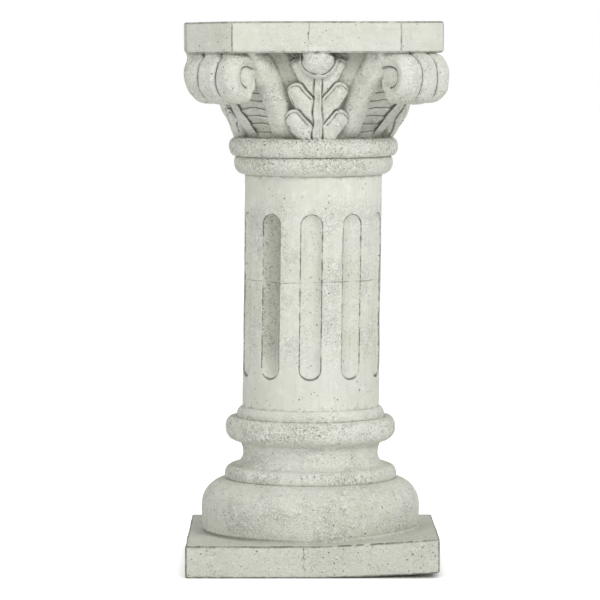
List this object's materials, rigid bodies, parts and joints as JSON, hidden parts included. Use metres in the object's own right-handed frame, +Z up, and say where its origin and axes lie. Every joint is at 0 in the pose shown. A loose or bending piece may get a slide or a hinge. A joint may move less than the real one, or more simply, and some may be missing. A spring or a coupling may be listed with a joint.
{
  "type": "column pedestal",
  "caption": "Short cast pedestal column with square plinth, ringed base, fluted shaft and leaf-and-volute capital under a flat top that carries a planter, bust or bowl",
  "frame": {"origin": "middle of the square underside, on the floor", "axes": "+Z up along the column, -Y towards the front face of the plinth and slab, +X to the right seen from the front"},
  "size_m": [0.344, 0.344, 0.72],
  "materials": {
    "painted_cast_stone": "matte antique whitewash over a grey-green wash that stays in the crevices, with small dark pits and hairlines"
  },
  "bodies": {
    "root": {"column": "painted_cast_stone"}
  },
  "joints": []
}
